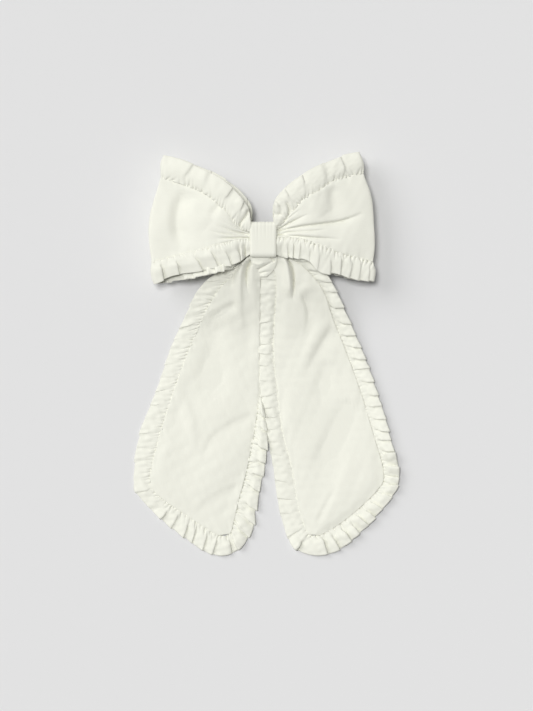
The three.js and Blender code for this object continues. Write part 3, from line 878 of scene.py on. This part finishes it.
def tail_edge_surface(spec):
    """The cloth between a tail's seam and its free edge, as loop_surface gives it, and the
    seam's length."""
    seam, _ = tail_seam(spec)
    edge = spline(spec["edge"])
    t = np.linspace(0, 1, 600)
    steps = np.linalg.norm(np.diff(seam(t), axis=0), axis=1)
    along = np.concatenate([[0], np.cumsum(steps)])
    above_seam = SEAM_Z - ON_TABLE - spec["seam_step"]

    def at(v, u):
        share = np.interp(v, along / along[-1], t)
        a, b = seam(share), edge(share)
        plan = a + (b - a) * u[..., None]
        y = plan[..., 1]
        inner = smooth(share, 0.58, 0.7)
        tucked = spec["tucked"] * inner * smooth(y, -104, -92)
        low = tail_underside(y) + ON_TABLE + above_seam * (1 - u)
        low = low + 0.8 * top_swell(y) * (1 - tucked)
        inner_rise = spec["inner_rise"] * smooth(-y, 16, 34) * smooth(u, 0, 0.4)
        low = low + inner_rise * inner * (1 - tucked)
        low = low + spec["outer_rise"] * (1 - smooth(share, 0.32, 0.48)) * smooth(u, 0, 1)
        point = np.stack([plan[..., 0], plan[..., 1], low], -1)
        up = np.zeros(point.shape)
        up[..., 2] = 1 - TUCKED_FLATNESS * tucked
        return point, up

    return at, along[-1]


def make_tail(name):
    """A tail's front, its lining and the ruffle round them."""
    spec = TAILS[name]
    body = name + "_tail"
    surface, length = tail_edge_surface(spec)
    ruffle = ruffle_grid(surface, length, 9, spec["ruffle"], 18, spec["seed"] + 5, puff=0.4)
    ruffle[..., 2] = np.maximum(ruffle[..., 2], ON_TABLE)
    for cloth, nodes, grid, thickness, material, slot, flat, area, held in (
        ("_front_cloth", ("_front", "_top"), front_grid(name), 0.5, TAIL_COTTON,
         "tail_cotton", (0.078, 0.185), 0.0082, "laid"),
        ("_back_cloth", ("_back",), back_grid(name), 0.4, LINING_COTTON,
         "lining_cotton", (0.078, 0.185), 0.0082, "laid"),
        ("_ruffle_cloth", ("_ruffle",), ruffle, 0.4, TAIL_COTTON,
         "tail_cotton", (0.010, 0.54), None, "gathered"),
    ):
        piece = cloth_piece(body + cloth, grid, thickness, material)
        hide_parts(*(body + node for node in nodes))
        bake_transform(piece)


# ---------------------------------------------------------------- the knot

def ring_section(half_y, low, high, corner, count):
    """Points evenly round a rounded rectangle in Y and Z, and their outward normals."""
    points = []
    for cy, cz, start in (
        (half_y - corner, high - corner, 0.0),
        (-half_y + corner, high - corner, 0.5 * math.pi),
        (-half_y + corner, low + corner, math.pi),
        (half_y - corner, low + corner, 1.5 * math.pi),
    ):
        for a in np.linspace(start, start + 0.5 * math.pi, 24):
            points.append((cy + corner * math.cos(a), cz + corner * math.sin(a)))
    points.append(points[0])
    line = np.array(points)
    steps = np.linalg.norm(np.diff(line, axis=0), axis=1)
    along = np.concatenate([[0], np.cumsum(steps)])
    share = np.linspace(0, along[-1], count, endpoint=False)
    even = np.stack([np.interp(share, along, line[:, k]) for k in (0, 1)], 1)
    slope = np.roll(even, -1, 0) - np.roll(even, 1, 0)
    slope /= np.linalg.norm(slope, axis=1)[:, None]
    return even, np.stack([slope[:, 1], -slope[:, 0]], 1)


# Dents in the knot wrap: where across it, and how deep
KNOT_DENTS = [(-5.2, 0.18), (-3.1, 0.315), (-0.9, 0.135), (1.6, 0.315), (3.4, 0.18), (5.6, 0.225)]
DENT_WIDTH = 0.55
FELT_CORNER = 1.5
FELT_GIVE = 0.2
THREAD_CORNER = 1.2
THREAD_SIDES = 10


def node_box(node):
    """A CAD node's box in millimetres: its low corner, high corner, middle and half size."""
    low, high = (np.array(corner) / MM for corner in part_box(node))
    return low, high, (low + high) / 2, (high - low) / 2


def make_knot():
    """The smooth band round the middle, with its ends turned in and a few dents over its top."""
    low, high, _, _ = node_box("knot_wrap")
    half_x, half_y = high[0], high[1]
    section, outward = ring_section(half_y, low[2], high[2], 3.0, 200)
    x = np.linspace(-1, 1, 72)
    grid = np.zeros((len(section), len(x), 3))
    top = smooth(section[:, 0], -3, half_y)
    for k, share in enumerate(x):
        raised = -1.1 * abs(share) ** 16 - 0.45
        dents = sum(
            -depth * math.exp(-((share * half_x - at) / DENT_WIDTH) ** 2)
            for at, depth in KNOT_DENTS
        )
        move = raised + dents * (0.08 + 0.7 * top)
        grid[:, k, 0] = half_x * share * (1 - 0.04 * (1 - top))
        grid[:, k, 1:] = section + outward * move[:, None]
    wrap = cloth_piece("knot_wrap_cloth", grid, 0.7, KNOT_COTTON, closed_rows=True)
    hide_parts("knot_wrap")
    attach(wrap, "bow")


def make_centre_fold():
    """The corner of cloth that shows folded between the tails, just under the knot."""
    across, down = np.meshgrid(np.linspace(0, 1, 60), np.linspace(0, 1, 60))
    left = spline([(-7.4, -8.5), (-7.6, -12.5), (-5.4, -18), (-1.4, -22.5)])(down)
    right = spline([(7.4, -8.5), (8.4, -12.5), (6.6, -18), (2.2, -22.5)])(down)
    plan = left + (right - left) * across[..., None]
    x, y = plan[..., 0], plan[..., 1]
    z = 20.2 - 4.4 * smooth(down, 0.15, 1) + 0.9 * np.sin(math.pi * across)
    for crease in (
        ([(-6.5, -20), (-3.4, -18.2), (1, -15.8), (6, -13)], -1.7, 0.6, 1.2, (0.1, 0.3)),
        ([(-4.5, -21.6), (-2, -20.4), (1.8, -19.4), (6, -18.6)], -1.1, 0.5, 1.1, (0.1, 0.5)),
        ([(4.4, -10.5), (6, -12.4), (7, -14)], -1.8, 1.1, 1.1, (0.1, 0.4)),
        ([(-7, -14), (-3, -15), (1, -13.6)], 0.8, 1.2, 1.2, (0.2, 0.3)),
    ):
        z = z + fold(x, y, *crease)
    piece = cloth_piece("centre_fold_cloth", np.stack([x, y, z], -1), 0.5, KNOT_COTTON)
    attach(piece, "bow")


def make_core():
    """The pinched waist of the loops: pleats running through the knot."""
    _, _, middle, half = node_box("gathered_centre")
    angle = np.linspace(0, 2 * math.pi, 120, endpoint=False)
    along = np.linspace(-1, 1, 60)
    grid = np.zeros((len(angle), len(along), 3))
    for k, share in enumerate(along):
        waist = 0.74 + 0.06 * smooth(abs(share), 0.2, 0.6)
        pleat = 1 + 0.06 * np.cos(14 * angle + 0.8 * math.sin(4 * share))
        grid[:, k, 0] = middle[0] + THROAT_X * share
        grid[:, k, 1] = middle[1] + half[1] * waist * pleat * np.cos(angle)
        grid[:, k, 2] = middle[2] + half[2] * waist * pleat * np.sin(angle)
    core = cloth_piece("gathered_centre_cloth", grid, 0.4, KNOT_COTTON, closed_rows=True)
    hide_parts("gathered_centre")
    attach(core, "bow")


def wound_thread(name, node, turns, radius):
    """Thread wound round the X axis in the room of a CAD band, as one tube."""
    low, high, middle, _ = node_box(node)
    section, _ = ring_section(
        high[1] - radius, low[2] + radius, high[2] - radius, THREAD_CORNER, 64)
    section[:, 0] += middle[1]
    steps = np.arange(turns * len(section))
    x = low[0] + radius + (high[0] - low[0] - 2 * radius) * steps / steps[-1]
    path = np.column_stack([x, np.tile(section, (turns, 1))])
    ahead = np.gradient(path, axis=0)
    ahead /= np.linalg.norm(ahead, axis=1)[:, None]
    side = np.cross(ahead, (1.0, 0, 0))
    side /= np.linalg.norm(side, axis=1)[:, None]
    across = np.cross(ahead, side)
    angle = np.linspace(0, 2 * math.pi, THREAD_SIDES, endpoint=False)
    grid = np.stack([path + radius * (math.cos(a) * side + math.sin(a) * across) for a in angle])
    mesh = bpy.data.meshes.new(name)
    index = np.arange(len(angle) * len(path)).reshape(len(angle), len(path))
    index = np.vstack([index, index[:1]])
    quads = np.stack([index[:-1, :-1], index[:-1, 1:], index[1:, 1:], index[1:, :-1]], -1)
    caps = [list(index[:-1, 0]), list(index[:-1, -1][::-1])]
    faces = quads.reshape(-1, 4).tolist() + [[int(i) for i in cap] for cap in caps]
    mesh.from_pydata((grid.reshape(-1, 3) * MM).tolist(), [], faces)
    piece = bpy.data.objects.new(name, mesh)
    bpy.context.scene.collection.objects.link(piece)
    mesh.materials.append(THREAD)
    mesh.polygons.foreach_set("use_smooth", [True] * len(mesh.polygons))
    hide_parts(node)
    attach(piece, "bow")


def make_felt():
    """The strip of felt between the bow and the clip, with rounded corners and soft faces."""
    _, _, middle, half = node_box("felt_pad")
    across, along = np.meshgrid(np.linspace(-1, 1, 40), np.linspace(-1, 1, 160))
    end = np.maximum(np.abs(along) * half[0] - (half[0] - FELT_CORNER), 0)
    narrow = FELT_CORNER - np.sqrt(np.maximum(FELT_CORNER ** 2 - end ** 2, 0))
    x = middle[0] + half[0] * along
    y = middle[1] + (half[1] - narrow) * across
    z = middle[2] + 0.05 * waves(5, 6, 4, 9)(x, y)
    pad = cloth_piece("felt_pad_cloth", np.stack([x, y, z], -1), 2 * half[2] - FELT_GIVE, FELT)
    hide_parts("felt_pad")
    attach(pad, "bow")


def finish_clip():
    """The CAD pieces of the barrette keep their shape and get their metal."""
    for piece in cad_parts.values():
        if piece.hide_render:
            continue
        piece.data.materials.clear()
        piece.data.materials.append(STEEL)


make_camera()
make_light()
make_floor()
for loop_name in LOOPS:
    make_loop(loop_name)
for tail_name in TAILS:
    make_tail(tail_name)
make_knot()
make_centre_fold()
make_core()
make_felt()
wound_thread("binding_thread_coil", "binding_thread", 6, 0.4)
wound_thread("lashing_left_coil", "lashing_left", 4, 0.28)
wound_thread("lashing_right_coil", "lashing_right", 4, 0.28)
finish_clip()
bpy.context.scene.view_settings.view_transform = "Standard"
